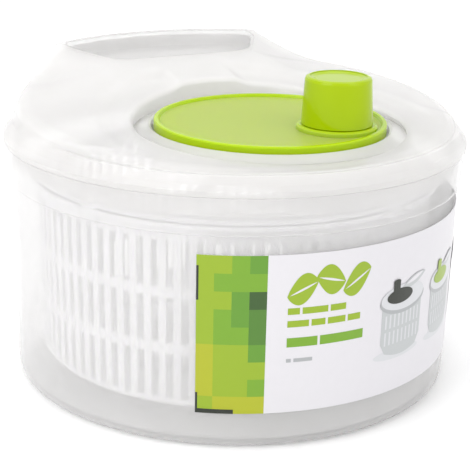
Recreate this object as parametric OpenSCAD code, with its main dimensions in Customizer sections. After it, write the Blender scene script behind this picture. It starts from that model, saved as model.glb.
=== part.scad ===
// Salad spinner: a round bowl with a slotted basket on a centre pin, and a lid whose
// off-centre crank turns the basket through an internal ring gear and a pinion.
// The pour hood points to +Y and the crank lies towards -Y. Z = 0 is the table.

/* [Bowl] */
// Outer radius of the bowl at the table
base_r = 98.6; // [80:1:130]
// How far the wall leans out from the table to the collar
wall_lean = 1.6; // [0:0.2:8]
// Height of the bowl to its rim
bowl_h = 108.4; // [85:1:140]
// Wall thickness of the bowl
bowl_wall = 2; // [1.5:0.1:3]
// Thickness of the bowl's floor
floor_t = 2.4; // [1.6:0.1:4]
// Rounding between the floor and the wall
foot_round = 7; // [4:0.5:12]
// Height of the stepped-out collar below the rim
collar_h = 16; // [12:1:24]
// How far the collar stands out from the wall
collar_step = 1.6; // [1:0.1:3]
// How much more the collar flares by the rim
collar_flare = 1.4; // [0.4:0.1:3]
// Radius of the centre pin
pin_r = 3.2; // [3:0.1:5]
// Height of the centre pin's top above the table
pin_top = 21; // [18:1:26]
// Wall thickness of the sleeve on the centre pin
pivot_wall = 5.4; // [4:0.1:7]

/* [Label] */
// Height of the label band's lower edge
label_z = 16.5; // [10:0.5:30]
// Height of the label band
label_h = 68; // [40:1:72]
// Thickness of the label
label_t = 0.3; // [0.2:0.1:0.6]
// Direction in which the label starts
label_start = 233.5; // [0:0.5:359.5]
// Angle that the label covers
label_arc = 172; // [60:1:340]

/* [Basket] */
// Gap between the basket's wall and the bowl's wall
basket_gap = 9.4; // [6:0.2:14]
// Wall thickness of the basket
basket_wall = 1.8; // [1.4:0.1:3]
// Height of the basket's underside above the bowl's floor
basket_lift = 9.6; // [7:0.2:16]
// Gap between the basket's rim and the bowl's rim
basket_drop = 15.4; // [12:0.2:24]
// Number of wall slots round the basket
slot_count = 84; // [40:2:96]
// Width of a slot
slot_w = 3.3; // [2:0.1:4]
// Height of the solid band between two rows of slots
slot_band = 4.4; // [3:0.2:8]
// Number of rows of wall slots
slot_rows = 3; // [1:1:4]
// Number of drive lugs
lug_count = 4; // [3:1:8]

/* [Lid] */
// Wall thickness of the lid
lid_t = 2.2; // [1.6:0.1:3]
// Height of the lid's flange band
band_h = 8.1; // [6:0.1:12]
// Depth of the skirt that reaches into the bowl
skirt_h = 9; // [6:0.5:11]
// Gap between the skirt and the collar
skirt_gap = 0.8; // [0.4:0.1:2]
// Height of the lid's top above the bowl's rim, on the centre line
crown_h = 14.4; // [12:0.2:24]
// Rise of the lid's top towards the hood, per millimetre
lid_slope = 0.065; // [0:0.005:0.1]
// Height of the hood's back edge above the bowl's rim
hood_h = 32.2; // [26:0.2:44]
// Distance of the mouth's front lip from the lid's outer edge
mouth_depth = 47; // [30:1:56]
// Half of the front lip's width
lip_half = 35; // [20:1:44]
// Height of the front lip above the bowl's rim
lip_h = 26.6; // [20:0.2:36]
// Angle from the hood's middle to a corner of the mouth
corner_ang = 33; // [22:1:40]
// Angle from the hood's middle to the end of its shoulder
shoulder_ang = 57; // [46:1:75]
// Radius of the shallow recess round the crank disc
recess_r = 68; // [62:1:76]
// Greatest depth of the recess
recess_d = 1.8; // [0.4:0.1:3]
// Half of the width of the spine that runs down behind the disc
spine_half = 13; // [8:1:24]

/* [Gears] */
// Tooth module
gear_m = 1.6; // [1.2:0.05:2]
// Teeth on the ring gear under the crank
ring_teeth = 55; // [45:1:57]
// Teeth on the basket's pinion
pinion_teeth = 16; // [14:1:20]
// Play between meshing teeth
backlash = 0.35; // [0.2:0.05:0.6]
// Width of the pinion's teeth
pinion_h = 7; // [5:0.5:9]

/* [Crank] */
// Radius of the crank disc
disc_r = 50; // [48:0.5:56]
// Thickness of the crank disc
disc_t = 2.4; // [1.8:0.1:3.2]
// Height of the disc's raised rim
disc_rim_h = 1.2; // [0.6:0.1:2]
// Width of the disc's raised rim
disc_rim_w = 1.8; // [1.2:0.1:3]
// Gap between the disc and the wall of its well
well_gap = 1.2; // [1:0.1:4]
// How far the disc stands above the well's collar
disc_proud = 2.4; // [0.5:0.1:4]
// Distance from the crank's axis to the knob's axis
crank_arm = 30; // [20:0.5:31]
// Direction of the knob from the crank's axis at rest
knob_ang = -50; // [-180:1:180]

/* [Knob] */
// Radius of the knob's foot
knob_foot_r = 15.2; // [12:0.2:17]
// Radius of the knob's top
knob_top_r = 14.2; // [11:0.2:16]
// Height of the knob
knob_h = 20; // [16:0.5:30]
// Radius of the raised seat under the knob
seat_r = 17.2; // [17:0.1:18.4]
// Height of the raised seat
seat_h = 2.2; // [1:0.1:4]

/* [Shafts and fits] */
// Radius of the crank spindle and of the drive shaft
shaft_r = 5; // [4:0.1:5.6]
// Radius of the knob's post
post_r = 4; // [3:0.1:5]
// Running clearance of a shaft in its bush
run_fit = 0.05; // [0.02:0.01:0.1]
// Wall thickness of a bush
bush_t = 2.5; // [1.8:0.1:3]
// Gap between pieces that pass each other
pass_gap = 0.5; // [0.3:0.1:1]
// Gap between the lid shell and the gear housing let into it
seam_gap = 0.02; // [0.01:0.01:0.1]
// Thickness of a washer
washer_t = 0.7; // [0.5:0.1:1]

/* [Hidden] */
$fn = 96;
eps = 0.01;

// Bowl: radii of the outer wall at given heights
collar_z = bowl_h - collar_h;
wall_top_r = base_r + wall_lean;
collar_r = wall_top_r + collar_step;
rim_r = collar_r + collar_flare;
function wall_r(z) = base_r + wall_lean * (z - foot_round) / (collar_z - foot_round);

// Gears: pitch radii, and the distance between the crank's and the basket's axes
pinion_pitch_r = gear_m * pinion_teeth / 2;
ring_pitch_r = gear_m * ring_teeth / 2;
crank_offset = ring_pitch_r - pinion_pitch_r;
pressure_ang = 20;
dedendum = 1.25;
pinion_tip_r = pinion_pitch_r + gear_m;
ring_tip_r = ring_pitch_r - gear_m;
ring_root_r = ring_pitch_r + dedendum * gear_m;
pinion_root_r = pinion_pitch_r - dedendum * gear_m;

// Lid: heights and radii
crown_z = bowl_h + crown_h;
hood_z = bowl_h + hood_h;
lip_z = bowl_h + lip_h;
flange_z = bowl_h;
band_top_z = flange_z + band_h;
band_lean = 4;
band_top_r = rim_r - band_lean;
edge_inset = 1.5;
edge_r = band_top_r - edge_inset;
band_kink = [1.8, 4.4];
flange_edge_h = 2;
band_under = 4;
lip_y = band_top_r - mouth_depth;
hood_arch = 1.5;
edge_drop = 3.2;
edge_w = 7;
edge_over_band = 0.5;
skirt_r = collar_r - bowl_wall - skirt_gap;
ramp_run = 26;
ramp_soft = 20;
mouth_wall = 0.3;

// Crank disc: heights, from its top rim down
disc_below = 0.3;
disc_z = crown_z - disc_below;
dish_z = disc_z - disc_rim_h;
disc_under_z = dish_z - disc_t;
skirt_t = 1.8;
ring_outer_r = disc_r - skirt_t;
well_r = disc_r + well_gap;
well_wall = 2;
mound_w = 7.2;
mound_fall = 2.4;
mound_r = well_r + mound_w;
mound_z = disc_z - disc_proud;
mound_foot_z = mound_z - mound_fall;
well_lip = 0.6;
recess_z = mound_z - 0.4;
recess_blend = 10;
spine_blend = 5;

// Gear train: heights, from the disc's underside down
pinion_top_gap = 2;
ring_below = 0.4;
bush_flange_t = 0.8;
bush_flange_w = 1.6;
boss_top_z = disc_under_z - washer_t - bush_flange_t;
pinion_z = disc_under_z - pinion_top_gap - pinion_h;
ring_z = pinion_z + ring_below;
well_floor_z = pinion_z - washer_t - bush_flange_t;
well_floor_t = 2.2;
boss_t = 2;
boss_drop = 3.4;
bush_bore_r = shaft_r + run_fit;
bush_r = bush_bore_r + bush_t;
boss_r = bush_r + boss_t;
boss_z = well_floor_z - well_floor_t - boss_drop;
spindle_play = 0.2;
spindle_foot_z = boss_z - spindle_play;
flat_d = 1.1;

// Drive plate and basket: heights
basket_z = floor_t + basket_lift;
basket_top_z = bowl_h - basket_drop;
basket_r = wall_top_r - bowl_wall - basket_gap;
basket_draft = 1.8;
basket_foot_r = basket_r - basket_draft;
rim_flange_w = 2.6;
rim_flange_t = 2;
foot_chamfer = 2;
slot_margin = 1.8;
slot_top_margin = 8;
floor_spokes = 36;
floor_slot_r = [20, 44];
floor_slot_len = 18;
plate_gap = 0.6;
plate_t = 2;
plate_z = basket_top_z + plate_gap;
plate_rim_w = 10.6;
plate_web_r = 19;
hub_r = 11;
hub_reach = 4;
hub_z = plate_z - hub_reach;
flat_end_z = plate_z + hub_reach;
shaft_play = 0.1;
hub_end_z = boss_z - washer_t - shaft_play;
plate_inset = 1;
lug_turn = 20;
lug_depth = 6;
lug_w = 9;
lug_t = 3;
spoke_count = 8;
spoke_w = 5;

// Screws: radii of head and shank, and length of the shank
screw_head_h = 2.4;
slot_cut = [0.8, 1.2];
spindle_screw_size = [3.4, 1.6, 10];
drive_screw_size = [6.4, 1.6, 9];
knob_screw_size = [3, 1.4, 7];
pilot_spare = 2;

// Pivot foot: a flanged sleeve on the bowl's centre pin, with a snap ring over the basket's hub
pivot_bore_r = pin_r + run_fit;
pivot_r = pivot_bore_r + pivot_wall;
pivot_flange_w = 3.5;
pivot_flange_r = pivot_r + pivot_flange_w;
pivot_flange_t = 2;
pivot_z = basket_z - pivot_flange_t;
pivot_cap_t = 1.6;
pivot_top_z = pin_top + pivot_cap_t + pass_gap;
clip_h = 1.2;
clip_w = 1.8;
clip_bite = 0.9;
clip_gap = 0.6;
clip_z = pivot_top_z - clip_h - clip_gap;
hub_top_z = clip_z - clip_gap;
basket_hub_wall = 3;
basket_hub_r = pivot_r + run_fit + basket_hub_wall;
pin_foot_r = pin_r + 1;
pin_foot_flare = 3;

// Knob: heights
seat_z = dish_z + seat_h;
knob_gap = 0.3;
knob_z = seat_z + knob_gap;
knob_top_z = knob_z + knob_h;
knob_wall = 1.8;
cap_t = 1.4;
cap_inset = 2.2;
cap_r = knob_top_r - cap_inset;
cap_dish = 0.5;
cap_rim_w = 0.8;
cap_rim_drop = 0.3;
cap_ledge = 2.4;
knob_hub_wall = 2.2;
knob_hub_r = post_r + run_fit + knob_hub_wall;
knob_well = 6;
knob_well_r = cap_r - cap_ledge;
knob_washer_w = 2;
knob_round = 1.4;
post_top_z = knob_top_z - knob_well;
seat_chamfer = 0.8;
knob_x = crank_arm * cos(knob_ang);
knob_y = -crank_offset + crank_arm * sin(knob_ang);

function lerp(a, b, t) = a + (b - a) * t;
function clamp01(t) = min(1, max(0, t));
function smooth(t) = let (k = clamp01(t)) k * k * (3 - 2 * k);

// ---- Involute gear outlines ----
function inv_deg(a) = tan(a) * 180 / PI - a;
function involute_half(r, base, pitch, half_pitch) =
    r <= base ? half_pitch + inv_deg(pressure_ang)
              : half_pitch + inv_deg(pressure_ang) - inv_deg(acos(base / r));
function gear_points(teeth, tip, root, play, steps = 5) =
    let (pitch = gear_m * teeth / 2,
         base = pitch * cos(pressure_ang),
         half = 90 / teeth - play / pitch * 45 / PI,
         low = max(base, root),
         radii = [for (i = [0:steps]) lerp(low, tip, i / steps)])
    [for (k = [0:teeth - 1])
        let (mid = 360 * k / teeth)
        for (p = concat(
            [[root, mid - involute_half(low, base, pitch, half)]],
            [for (r = radii) [r, mid - involute_half(r, base, pitch, half)]],
            [for (i = [steps:-1:0]) [radii[i], mid + involute_half(radii[i], base, pitch, half)]],
            [[root, mid + involute_half(low, base, pitch, half)]]))
        [p[0] * cos(p[1]), p[0] * sin(p[1])]];

// ---- Lid surface ----
// The top is a plane that rises towards the hood. A ramp climbs from it to the mouth's
// lip, and a shoulder on each side falls from the ramp to the lid's outer edge.
function plane_z(y) = crown_z + lid_slope * y;
function ramp_rise(y) =
    let (u = y - (lip_y - ramp_run)) (u + sqrt(u * u + ramp_soft * ramp_soft)) / 2;
ramp_gain = (lip_z - plane_z(lip_y)) / ramp_rise(lip_y);
corner_y = edge_r * cos(corner_ang);
corner_x = edge_r * sin(corner_ang);
corner_z = hood_z - hood_arch;
function crest_z(y) =
    y <= lip_y ? plane_z(y) + ramp_gain * ramp_rise(y)
               : lerp(lip_z, corner_z, clamp01((y - lip_y) / (corner_y - lip_y)));
function crest_half(y) =
    y <= lip_y ? lip_half + max(0, lip_y - y) * 0.5
               : lerp(lip_half, corner_x, clamp01((y - lip_y) / (corner_y - lip_y)));
// Height of the lid's outer edge at an angle from the hood's middle
function edge_z(ang) =
    let (p = plane_z(edge_r * cos(ang)), a = abs(ang))
    a <= corner_ang ? hood_z - hood_arch * pow(a / corner_ang, 2)
    : a >= shoulder_ang ? p
    : p + (corner_z - plane_z(edge_r * cos(corner_ang)))
          * pow((shoulder_ang - a) / (shoulder_ang - corner_ang), 2);
function plain_top_z(x, y) =
    let (w = crest_half(y),
         out = sqrt(max(1, edge_r * edge_r - y * y)),
         t = clamp01((abs(x) - w) / max(1, out - w)),
         ease = sin(90 * t),
         rim = edge_z(atan2(sqrt(max(0, edge_r * edge_r - y * y)), y)))
    abs(x) <= w ? crest_z(y) : lerp(crest_z(y), rim, ease);
// Share of the recess round the crank disc at a point: 1 inside it, 0 outside and on the spine
function recess_share(x, y) =
    (1 - smooth((norm([x, y + crank_offset]) - recess_r) / recess_blend))
    * smooth((abs(x) - spine_half) / spine_blend);
function top_z(x, y) =
    let (z = plain_top_z(x, y)) z - min(recess_d, max(0, z - recess_z)) * recess_share(x, y);

shell_steps = 72;
crown_rings = 7;
hole_r = (mound_r + seam_gap) / cos(180 / shell_steps);
blend_r = edge_r - edge_w;
function ring_dir(i) = [cos(360 * i / shell_steps), sin(360 * i / shell_steps)];
function hole_pt(i) = [0, -crank_offset] + hole_r * ring_dir(i);
function hood_angle(p) = abs(atan2(p[0], p[1]));
function edge_fall(p) =
    edge_drop * smooth((hood_angle(p) - corner_ang) / (shoulder_ang - corner_ang));
// A point on the top skin, at t from the hole (0) to the start of the rounded edge (1)
function crown_pt(i, t, down = 0) =
    let (p = lerp(hole_pt(i), blend_r * ring_dir(i), t))
    [p[0], p[1], top_z(p[0], p[1]) - down];
// A point on the rounded edge, at s from its start (0) to the lid's side (1)
function edge_pt(i, s) =
    let (p = (blend_r + edge_w * s) * ring_dir(i),
         z = top_z(p[0], p[1]) - edge_fall(p) * (1 - sqrt(1 - s * s)))
    [p[0], p[1], max(z, band_top_z + edge_over_band)];
function side_pt(i, r, z) = [r * ring_dir(i)[0], r * ring_dir(i)[1], z];
// A point on the foot of the wall that drops from the top skin to the gear housing
function drop_pt(i, out) =
    let (p = hole_pt(i), q = p + out * ring_dir(i),
         z = min(mound_foot_z - lid_t, top_z(q[0], q[1]) - lid_t - 0.4))
    [q[0], q[1], z];
function shell_rings() = concat(
    [[for (i = [0:shell_steps - 1]) drop_pt(i, 0)]],
    [for (k = [0:crown_rings]) [for (i = [0:shell_steps - 1]) crown_pt(i, k / crown_rings)]],
    [for (s = [0.4, 0.75, 1]) [for (i = [0:shell_steps - 1]) edge_pt(i, s)]],
    [for (rz = [[band_top_r, band_top_z], [rim_r - band_kink[0], flange_z + band_kink[1]],
                [rim_r, flange_z + flange_edge_h], [rim_r, flange_z], [skirt_r, flange_z],
                [skirt_r, flange_z - skirt_h], [skirt_r - lid_t, flange_z - skirt_h],
                [skirt_r - lid_t, flange_z], [edge_r - lid_t, band_top_z - band_under]])
        [for (i = [0:shell_steps - 1]) side_pt(i, rz[0], rz[1])]],
    [[for (i = [0:shell_steps - 1]) let (p = edge_pt(i, 1), k = (edge_r - lid_t) / edge_r)
        [p[0] * k, p[1] * k, p[2] - lid_t - 1]]],
    [for (k = [crown_rings:-1:1]) [for (i = [0:shell_steps - 1])
        crown_pt(i, k / crown_rings, lid_t)]],
    [[for (i = [0:shell_steps - 1]) let (q = hole_pt(i) + lid_t * ring_dir(i))
        [q[0], q[1], top_z(q[0], q[1]) - lid_t]]],
    [[for (i = [0:shell_steps - 1]) drop_pt(i, lid_t)]]);
module ring_loft(rings) {
    count = len(rings);
    steps = len(rings[0]);
    polyhedron(
        points = [for (r = rings) for (p = r) p],
        faces = [for (k = [0:count - 1]) for (i = [0:steps - 1])
            let (a = k * steps + i, b = k * steps + (i + 1) % steps,
                 c = ((k + 1) % count) * steps + (i + 1) % steps,
                 d = ((k + 1) % count) * steps + i)
            each [[a, b, c], [a, c, d]]]);
}
// Plan of the pour mouth: a straight lip, two slanting sides and the hood's back wall
module mouth_plan() {
    back_r = edge_r - lid_t - mouth_wall;
    polygon(concat(
        [[-lip_half, lip_y], [lip_half, lip_y]],
        [for (a = [corner_ang:-corner_ang / 6:-corner_ang]) back_r * [sin(a), cos(a)]]));
}

// ---- Small shared shapes ----
module tube(r, bore, h) {
    difference() {
        cylinder(r = r, h = h);
        translate([0, 0, -eps]) cylinder(r = bore, h = h + 2 * eps);
    }
}
module washer(r, bore) tube(r, bore, washer_t);
// Pan-head screw that points up: its head lies below z = 0
module screw(size) {
    reach = 0.6 * size[0];
    difference() {
        union() {
            translate([0, 0, -screw_head_h]) cylinder(r = size[0], h = screw_head_h);
            cylinder(r = size[1], h = size[2]);
        }
        for (a = [0, 90]) rotate(a)
            translate([-reach, -slot_cut[0] / 2, -screw_head_h - eps])
                cube([2 * reach, slot_cut[0], slot_cut[1]]);
    }
}
// Pilot hole for a screw whose head seats at height z
module pilot(size, z) translate([0, 0, z - 1]) cylinder(r = size[1], h = size[2] + pilot_spare);
// Round bar with a flat on one side, as cutter or as shaft end
module flatted_bar(r, h) {
    difference() {
        cylinder(r = r, h = h);
        translate([r - flat_d, -r, -eps]) cube([2 * r, 2 * r, h + 2 * eps]);
    }
}
module at_crank() translate([0, -crank_offset, 0]) children();
module at_knob() translate([knob_x, knob_y, 0]) children();

// ---- Bowl ----
module bowl() {
    color([0.93, 0.93, 0.95]) union() {
        rotate_extrude() difference() {
            union() {
                translate([0, foot_round]) polygon([
                    [0, 0], [base_r, 0], [wall_top_r, collar_z - foot_round], [0, collar_z - foot_round]]);
                square([base_r - foot_round, foot_round + eps]);
                translate([base_r - foot_round, foot_round]) intersection() {
                    circle(r = foot_round);
                    translate([0, -foot_round]) square(foot_round);
                }
                polygon([[0, collar_z], [collar_r, collar_z], [rim_r, bowl_h], [0, bowl_h]]);
            }
            polygon([[0, floor_t], [base_r - foot_round, floor_t], [base_r - foot_round, foot_round],
                     [0, foot_round]]);
            translate([base_r - foot_round, foot_round]) intersection() {
                circle(r = foot_round - bowl_wall);
                translate([0, -foot_round]) square(foot_round);
            }
            polygon([[0, floor_t], [base_r - foot_round, floor_t],
                     [base_r - foot_round, foot_round - eps], [base_r - bowl_wall, foot_round],
                     [wall_top_r - bowl_wall, collar_z], [0, collar_z]]);
            polygon([[0, collar_z - eps], [wall_top_r - bowl_wall, collar_z - eps],
                     [collar_r - bowl_wall, collar_z + bowl_wall],
                     [rim_r - bowl_wall, bowl_h + eps], [0, bowl_h + eps]]);
        }
        cylinder(r = pin_r, h = pin_top);
        translate([0, 0, floor_t - eps])
            cylinder(r1 = pin_foot_r + pin_foot_flare, r2 = pin_foot_r, h = pivot_z - floor_t + eps);
    }
}

module label_sleeve() {
    color([0.95, 0.95, 0.95]) rotate(label_start) rotate_extrude(angle = label_arc) polygon([
        [wall_r(label_z), label_z], [wall_r(label_z) + label_t, label_z],
        [wall_r(label_z + label_h) + label_t, label_z + label_h],
        [wall_r(label_z + label_h), label_z + label_h]]);
}

// ---- Basket and its pivot ----
module pivot_bush() {
    color([0.9, 0.9, 0.88]) difference() {
        union() {
            translate([0, 0, pivot_z]) cylinder(r = pivot_flange_r, h = pivot_flange_t);
            translate([0, 0, pivot_z]) cylinder(r = pivot_r, h = pivot_top_z - pivot_z);
        }
        translate([0, 0, pivot_z - eps])
            cylinder(r = pivot_bore_r, h = pin_top + pass_gap - pivot_z);
        translate([0, 0, clip_z]) tube(pivot_r + 1, pivot_r - clip_bite, clip_h);
    }
}
module bush_clip() {
    mouth = 1.4 * pivot_r;
    color([0.75, 0.75, 0.77]) translate([0, 0, clip_z]) difference() {
        tube(pivot_r + clip_w, pivot_r - clip_bite, clip_h);
        translate([0, -mouth / 2, -eps]) cube([3 * pivot_r, mouth, clip_h + 2 * eps]);
    }
}
module basket_wall_slots() {
    rows_low = basket_z + basket_wall + slot_margin;
    row_h = (basket_top_z - slot_top_margin - rows_low - (slot_rows - 1) * slot_band) / slot_rows;
    for (row = [0:slot_rows - 1], k = [0:slot_count - 1])
        rotate(360 * (k + 0.5) / slot_count)
            translate([basket_foot_r - 4, -slot_w / 2, rows_low + row * (row_h + slot_band)])
                cube([9, slot_w, row_h]);
}
module basket_floor_slots() {
    for (k = [0:floor_spokes - 1]) rotate(360 * k / floor_spokes) for (r = floor_slot_r)
        translate([r, -slot_w / 2, basket_z - 1]) cube([floor_slot_len, slot_w, basket_wall + 2]);
}
module lug_spots() for (k = [0:lug_count - 1]) rotate(360 * k / lug_count + lug_turn) children();
module basket() {
    color([0.94, 0.94, 0.95]) difference() {
        union() {
            rotate_extrude() polygon([
                [basket_foot_r - foot_chamfer, basket_z], [basket_foot_r, basket_z + foot_chamfer],
                [basket_r, basket_top_z - rim_flange_t],
                [basket_r + rim_flange_w, basket_top_z - rim_flange_t],
                [basket_r + rim_flange_w, basket_top_z], [basket_r - basket_wall, basket_top_z],
                [basket_foot_r - basket_wall, basket_z + basket_wall], [0, basket_z + basket_wall],
                [0, basket_z]]);
            translate([0, 0, basket_z]) cylinder(r = basket_hub_r, h = hub_top_z - basket_z);
        }
        basket_wall_slots();
        basket_floor_slots();
        translate([0, 0, basket_z - 1]) cylinder(r = pivot_r + run_fit, h = hub_top_z - basket_z + 2);
        lug_spots()
            translate([basket_r - basket_wall - 1, -lug_w / 2 - pass_gap, basket_top_z - lug_depth])
                cube([basket_wall + rim_flange_w + 2, lug_w + 2 * pass_gap, lug_depth + 1]);
    }
}

// ---- Lid ----
module lid_shell() {
    color([0.95, 0.95, 0.97]) difference() {
        ring_loft(shell_rings());
        translate([0, 0, band_top_z]) linear_extrude(height = 60) mouth_plan();
    }
}
module gear_housing() {
    floor_under = well_floor_z - well_floor_t;
    color([0.93, 0.93, 0.95]) difference() {
        union() {
            at_crank() rotate_extrude() polygon([
                [0, floor_under], [well_r + well_wall, floor_under],
                [well_r + well_wall, mound_foot_z - well_wall], [mound_r, mound_foot_z - well_wall],
                [mound_r, mound_foot_z], [well_r + 2 * well_lip, mound_z], [well_r, mound_z - well_lip],
                [well_r, well_floor_z], [0, well_floor_z]]);
            at_crank() translate([0, 0, boss_z]) cylinder(r = boss_r, h = boss_top_z - boss_z);
            translate([0, 0, boss_z]) cylinder(r = boss_r, h = well_floor_z - boss_z);
        }
        at_crank() translate([0, 0, boss_z - 1]) cylinder(r = bush_r, h = boss_top_z - boss_z + 2);
        translate([0, 0, boss_z - 1]) cylinder(r = bush_r, h = well_floor_z - boss_z + 2);
    }
}
module flanged_bush(h) {
    difference() {
        union() {
            cylinder(r = bush_r, h = h);
            translate([0, 0, h]) cylinder(r = bush_r + bush_flange_w, h = bush_flange_t);
        }
        translate([0, 0, -eps]) cylinder(r = bush_bore_r, h = h + bush_flange_t + 2 * eps);
    }
}
module pinion_bush() {
    color([0.85, 0.85, 0.8]) translate([0, 0, boss_z]) flanged_bush(well_floor_z - boss_z);
}
module crank_bush() {
    color([0.85, 0.85, 0.8]) at_crank() translate([0, 0, boss_z]) flanged_bush(boss_top_z - boss_z);
}

// ---- Crank ----
module crank_disc() {
    rim_round = 0.5;
    rim_slope = 0.8;
    tall = seat_z - disc_under_z;
    color([0.72, 0.82, 0.1]) difference() {
        union() {
            at_crank() rotate_extrude() polygon([
                [0, disc_under_z], [ring_outer_r, disc_under_z], [ring_outer_r, ring_z],
                [disc_r, ring_z], [disc_r, disc_z - rim_round], [disc_r - rim_round, disc_z],
                [disc_r - disc_rim_w, disc_z], [disc_r - disc_rim_w - rim_slope, dish_z],
                [0, dish_z]]);
            intersection() {
                at_knob() translate([0, 0, disc_under_z]) rotate_extrude() polygon([
                    [0, 0], [seat_r, 0], [seat_r, tall - seat_chamfer],
                    [seat_r - seat_chamfer, tall], [0, tall]]);
                at_crank() translate([0, 0, disc_under_z]) cylinder(r = disc_r, h = tall + 1);
            }
        }
        at_knob() translate([0, 0, disc_under_z - 1]) cylinder(r = post_r, h = tall + 2);
    }
}
module ring_gear() {
    color([0.9, 0.9, 0.9]) at_crank() translate([0, 0, ring_z]) difference() {
        cylinder(r = ring_outer_r, h = disc_under_z - ring_z);
        translate([0, 0, -1]) linear_extrude(height = disc_under_z - ring_z + 2) rotate(90)
            polygon(gear_points(ring_teeth, ring_root_r, ring_tip_r, -backlash / 2, 4));
    }
}
module crank_spindle() {
    color([0.8, 0.8, 0.82]) at_crank() difference() {
        translate([0, 0, spindle_foot_z]) cylinder(r = shaft_r, h = disc_under_z - spindle_foot_z);
        pilot(spindle_screw_size, spindle_foot_z - washer_t);
    }
}
module crank_washer() {
    color([0.7, 0.7, 0.72]) at_crank() translate([0, 0, disc_under_z - washer_t])
        washer(bush_r + bush_flange_w, shaft_r);
}
module spindle_washer() {
    color([0.7, 0.7, 0.72]) at_crank() translate([0, 0, spindle_foot_z - washer_t])
        washer(bush_r, spindle_screw_size[1]);
}
module spindle_screw() {
    color([0.6, 0.6, 0.62]) at_crank() translate([0, 0, spindle_foot_z - washer_t])
        screw(spindle_screw_size);
}

// ---- Knob ----
module knob_post() {
    color([0.8, 0.8, 0.82]) at_knob() difference() {
        translate([0, 0, disc_under_z]) cylinder(r = post_r, h = post_top_z - disc_under_z);
        translate([0, 0, post_top_z - knob_screw_size[2] - 1])
            cylinder(r = knob_screw_size[1], h = knob_screw_size[2] + 2);
    }
}
module knob() {
    color([0.62, 0.78, 0.05]) at_knob() difference() {
        union() {
            difference() {
                translate([0, 0, knob_z]) rotate_extrude() polygon([
                    [0, 0], [knob_foot_r, 0], [knob_top_r, knob_h - knob_round],
                    [knob_top_r - 0.3 * knob_round, knob_h - 0.3 * knob_round],
                    [knob_top_r - knob_round, knob_h], [0, knob_h]]);
                translate([0, 0, knob_z - 1]) cylinder(
                    r1 = knob_foot_r - knob_wall, r2 = knob_top_r - knob_wall, h = knob_h - knob_well);
            }
            translate([0, 0, knob_z]) cylinder(r = knob_hub_r, h = knob_h - knob_well);
        }
        translate([0, 0, knob_z - 1]) cylinder(r = post_r + run_fit, h = knob_h + 2);
        translate([0, 0, post_top_z - 0.1]) cylinder(r = knob_well_r, h = knob_well + 1);
        translate([0, 0, knob_top_z - cap_t]) cylinder(r = cap_r, h = cap_t + 1);
    }
}
module knob_cap() {
    rim_z = cap_t - cap_rim_drop;
    color([0.6, 0.75, 0.05]) at_knob() translate([0, 0, knob_top_z - cap_t])
        rotate_extrude() polygon([
            [0, 0], [cap_r, 0], [cap_r, rim_z], [cap_r - cap_rim_w, rim_z],
            [knob_well_r, rim_z - cap_dish], [0, rim_z - cap_dish]]);
}
module knob_washer() {
    color([0.7, 0.7, 0.72]) at_knob() translate([0, 0, post_top_z])
        washer(post_r + knob_washer_w, knob_screw_size[1]);
}
module knob_screw() {
    color([0.6, 0.6, 0.62]) at_knob() translate([0, 0, post_top_z + washer_t]) mirror([0, 0, 1])
        screw(knob_screw_size);
}

// ---- Drive ----
module pinion() {
    color([0.92, 0.92, 0.9]) translate([0, 0, pinion_z]) difference() {
        linear_extrude(height = pinion_h) rotate(90)
            polygon(gear_points(pinion_teeth, pinion_tip_r, pinion_root_r, backlash / 2));
        translate([0, 0, -eps]) flatted_bar(shaft_r, pinion_h + 2 * eps);
    }
}
module drive_shaft() {
    color([0.75, 0.75, 0.78]) difference() {
        union() {
            translate([0, 0, pinion_z]) flatted_bar(shaft_r, pinion_h);
            translate([0, 0, flat_end_z]) cylinder(r = shaft_r, h = pinion_z - flat_end_z);
            translate([0, 0, hub_z]) flatted_bar(shaft_r, flat_end_z - hub_z);
        }
        pilot(drive_screw_size, hub_z);
    }
}
module thrust_washer() {
    color([0.7, 0.7, 0.72]) translate([0, 0, pinion_z - washer_t])
        washer(bush_r + bush_flange_w, shaft_r);
}
module shaft_washer() {
    color([0.7, 0.7, 0.72]) translate([0, 0, hub_end_z]) washer(bush_r, shaft_r);
}
module drive_plate() {
    rim_out = basket_r + rim_flange_w - plate_inset;
    rim_in = rim_out - plate_rim_w;
    color([0.9, 0.9, 0.92]) difference() {
        union() {
            translate([0, 0, plate_z]) tube(rim_out, rim_in, plate_t);
            translate([0, 0, plate_z]) cylinder(r = plate_web_r, h = plate_t);
            translate([0, 0, hub_z]) cylinder(r = hub_r, h = hub_end_z - hub_z);
            for (k = [0:spoke_count - 1]) rotate(360 * k / spoke_count)
                translate([hub_r - 2, -spoke_w / 2, plate_z])
                    cube([rim_in - hub_r + 4, spoke_w, plate_t]);
            lug_spots()
                translate([basket_r - basket_wall, -lug_w / 2, basket_top_z - lug_depth + pass_gap])
                    cube([lug_t, lug_w, lug_depth - pass_gap + plate_gap + plate_t]);
        }
        translate([0, 0, hub_z - eps]) flatted_bar(shaft_r, flat_end_z - hub_z + eps);
        translate([0, 0, flat_end_z - eps]) cylinder(r = shaft_r, h = hub_end_z - flat_end_z + 1);
    }
}
module drive_screw() {
    color([0.6, 0.6, 0.62]) translate([0, 0, hub_z]) screw(drive_screw_size);
}

bowl();
label_sleeve();
pivot_bush();
bush_clip();
basket();
lid_shell();
gear_housing();
pinion_bush();
crank_bush();
crank_disc();
ring_gear();
crank_spindle();
crank_washer();
spindle_washer();
spindle_screw();
knob_post();
knob();
knob_cap();
knob_washer();
knob_screw();
pinion();
drive_shaft();
thrust_washer();
shaft_washer();
drive_plate();
drive_screw();
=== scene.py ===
"""Looks of the salad spinner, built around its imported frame.

The frame's bodies keep their places. Each sub-assembly below dresses its frame nodes with a
finish, and builds a smoother piece where a moulded shape shows: the bowl, its printed label and
the lid with its pour hood.
"""

import logging
import math
import random
from dataclasses import dataclass, field
from enum import Enum
from typing import Sequence, Union

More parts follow.
